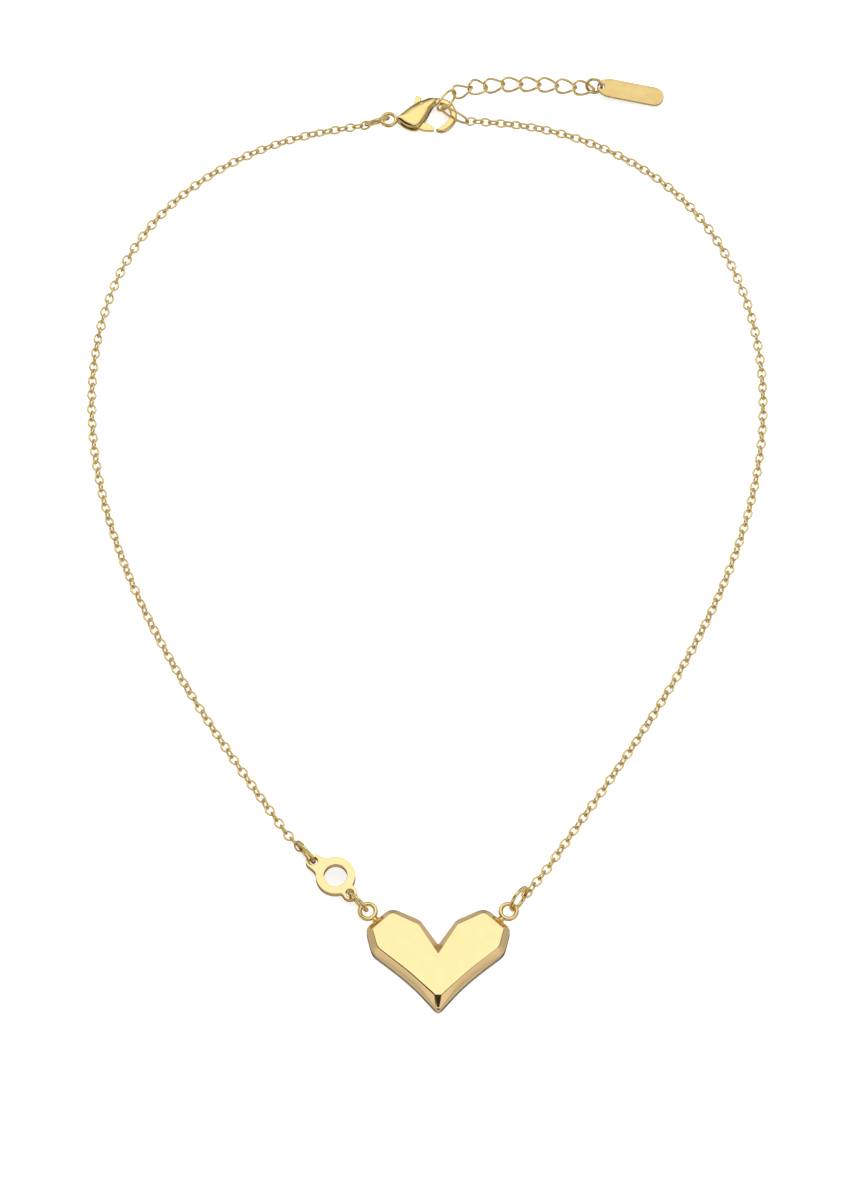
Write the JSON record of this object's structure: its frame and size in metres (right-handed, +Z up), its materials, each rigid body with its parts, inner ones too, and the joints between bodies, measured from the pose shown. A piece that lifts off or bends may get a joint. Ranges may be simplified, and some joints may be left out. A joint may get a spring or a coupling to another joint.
{
  "type": "pendant necklace",
  "caption": "Fine gold necklace laid flat: bevelled heart pendant, pierced round connector, cable chain, lobster clasp and curb-link extender with a blank oval tag.",
  "frame": {"origin": "middle of the heart pendant on its flat back, which lies on the table", "axes": "+Z up out of the heart's front face, +Y from the pendant to the clasp, +X to the right of the pendant seen from the front"},
  "size_m": [0.1052, 0.1579, 0.0043],
  "materials": {
    "mirror_gold": "polished gold plate",
    "wire_gold": "polished gold plate on wire and castings",
    "chain_gold": "bright gold plated cable chain",
    "spring_steel": "bare spring steel"
  },
  "bodies": {
    "chains": {"chain_left": "chain_gold", "chain_left_lower_link": "chain_gold", "chain_left_upper_link": "chain_gold", "chain_right": "chain_gold", "chain_right_lower_link": "chain_gold", "chain_right_upper_link": "chain_gold"},
    "heart": {"heart_body": "mirror_gold", "heart_loop_left": "wire_gold", "heart_loop_right": "wire_gold"},
    "connector": {"connector_plate": "mirror_gold"},
    "connector_to_heart_ring": {"connector_to_heart_ring": "wire_gold"},
    "chain_to_connector_ring": {"chain_to_connector_ring": "wire_gold"},
    "heart_to_chain_ring": {"heart_to_chain_ring": "wire_gold"},
    "chain_to_clasp_ring": {"chain_to_clasp_ring": "wire_gold"},
    "clasp": {"clasp_body": "wire_gold", "clasp_pin": "wire_gold", "clasp_spring": "spring_steel"},
    "lever": {"clasp_lever": "wire_gold"},
    "catch_ring": {"catch_ring": "wire_gold"},
    "link_1": {"extender_link_1": "wire_gold"},
    "link_2": {"extender_link_2": "wire_gold"},
    "link_3": {"extender_link_3": "wire_gold"},
    "link_4": {"extender_link_4": "wire_gold"},
    "link_5": {"extender_link_5": "wire_gold"},
    "link_6": {"extender_link_6": "wire_gold"},
    "link_7": {"extender_link_7": "wire_gold"},
    "link_8": {"extender_link_8": "wire_gold"},
    "link_9": {"extender_link_9": "wire_gold"},
    "tag_ring": {"tag_ring": "wire_gold"},
    "tag": {"tag": "mirror_gold"}
  },
  "joints": [
    {"name": "heart_swing", "type": "hinge", "parent": "chains", "child": "heart", "pos_m": [0, 0.00835, 0.0016], "axis": [-1, 0, 0], "range_deg": [-10, 35]},
    {"name": "connector_roll", "type": "hinge", "parent": "chains", "child": "connector", "pos_m": [-0.0156, 0.0126, 0.00158], "axis": [0.7311, -0.6823, 0], "range_deg": [-4, 4]},
    {"name": "connector_to_heart_ring_roll", "type": "hinge", "parent": "chains", "child": "connector_to_heart_ring", "pos_m": [-0.01175, 0.0088, 0.0016], "axis": [0.6964, -0.7177, 0], "range_deg": [-8, 2]},
    {"name": "chain_to_connector_ring_roll", "type": "hinge", "parent": "chains", "child": "chain_to_connector_ring", "pos_m": [-0.01945, 0.01646, 0.0013], "axis": [-0.651, 0.759, 0], "range_deg": [-6, 6]},
    {"name": "heart_to_chain_ring_roll", "type": "hinge", "parent": "chains", "child": "heart_to_chain_ring", "pos_m": [0.0118, 0.00917, 0.0014], "axis": [0.6111, 0.7916, 0], "range_deg": [-6, 6]},
    {"name": "chain_to_clasp_ring_roll", "type": "hinge", "parent": "chains", "child": "chain_to_clasp_ring", "pos_m": [-0.00962, 0.1413, 0.0012], "axis": [0.9453, 0.3261, 0], "range_deg": [-2, 2]},
    {"name": "clasp_roll", "type": "hinge", "parent": "chains", "child": "clasp", "pos_m": [-0.00778, 0.14203, 0.0012], "axis": [0.9965, 0.083, 0], "range_deg": [-4, 3]},
    {"name": "lever_open", "type": "hinge", "parent": "clasp", "child": "lever", "pos_m": [-0.00435, 0.1416, 0.0012], "axis": [0, 0, 1], "range_deg": [0, 20], "stiffness_Nm_per_rad": 0.0004, "springref_deg": -5.73},
    {"name": "catch_ring_roll", "type": "hinge", "parent": "chains", "child": "catch_ring", "pos_m": [0.00273, 0.14259, 0.00164], "axis": [0.8598, -0.5107, 0], "range_deg": [-3, 3]},
    {"name": "link_1_swing", "type": "hinge", "parent": "catch_ring", "child": "link_1", "pos_m": [0.00097, 0.14358, 0.00211], "axis": [0.8338, 0.552, 0], "range_deg": [-2, 2]},
    {"name": "link_2_swing", "type": "hinge", "parent": "link_1", "child": "link_2", "pos_m": [0.00274, 0.14556, 0.00243], "axis": [0.6244, -0.7811, 0], "range_deg": [-2, 2]},
    {"name": "link_3_swing", "type": "hinge", "parent": "link_2", "child": "link_3", "pos_m": [0.00505, 0.1474, 0.00226], "axis": [0.4778, -0.8785, 0], "range_deg": [-2, 2]},
    {"name": "link_4_swing", "type": "hinge", "parent": "link_3", "child": "link_4", "pos_m": [0.00755, 0.14847, 0.0011], "axis": [0.2574, -0.9663, 0], "range_deg": [-2, 2]},
    {"name": "link_5_swing", "type": "hinge", "parent": "link_4", "child": "link_5", "pos_m": [0.01046, 0.14902, 0.00091], "axis": [0.0867, -0.9962, 0], "range_deg": [-3, 3]},
    {"name": "link_6_swing", "type": "hinge", "parent": "link_5", "child": "link_6", "pos_m": [0.01335, 0.14896, 0.00075], "axis": [0.0139, -0.9999, 0], "range_deg": [-3, 3]},
    {"name": "link_7_swing", "type": "hinge", "parent": "link_6", "child": "link_7", "pos_m": [0.01623, 0.14886, 0.00075], "axis": [-0.0522, -0.9986, 0], "range_deg": [-3, 3]},
    {"name": "link_8_swing", "type": "hinge", "parent": "link_7", "child": "link_8", "pos_m": [0.01909, 0.14864, 0.00075], "axis": [-0.094, -0.9956, 0], "range_deg": [-3, 3]},
    {"name": "link_9_swing", "type": "hinge", "parent": "link_8", "child": "link_9", "pos_m": [0.02194, 0.14831, 0.00074], "axis": [-0.115, -0.9934, 0], "range_deg": [-3, 3]},
    {"name": "tag_ring_swing", "type": "hinge", "parent": "link_9", "child": "tag_ring", "pos_m": [0.025, 0.14785, 0.00045], "axis": [0.0739, -0.9973, 0], "range_deg": [-4, 4]},
    {"name": "tag_swing", "type": "hinge", "parent": "tag_ring", "child": "tag", "pos_m": [0.02618, 0.14814, 0.00122], "axis": [-0.164, -0.9865, 0], "range_deg": [-2, 6]}
  ]
}
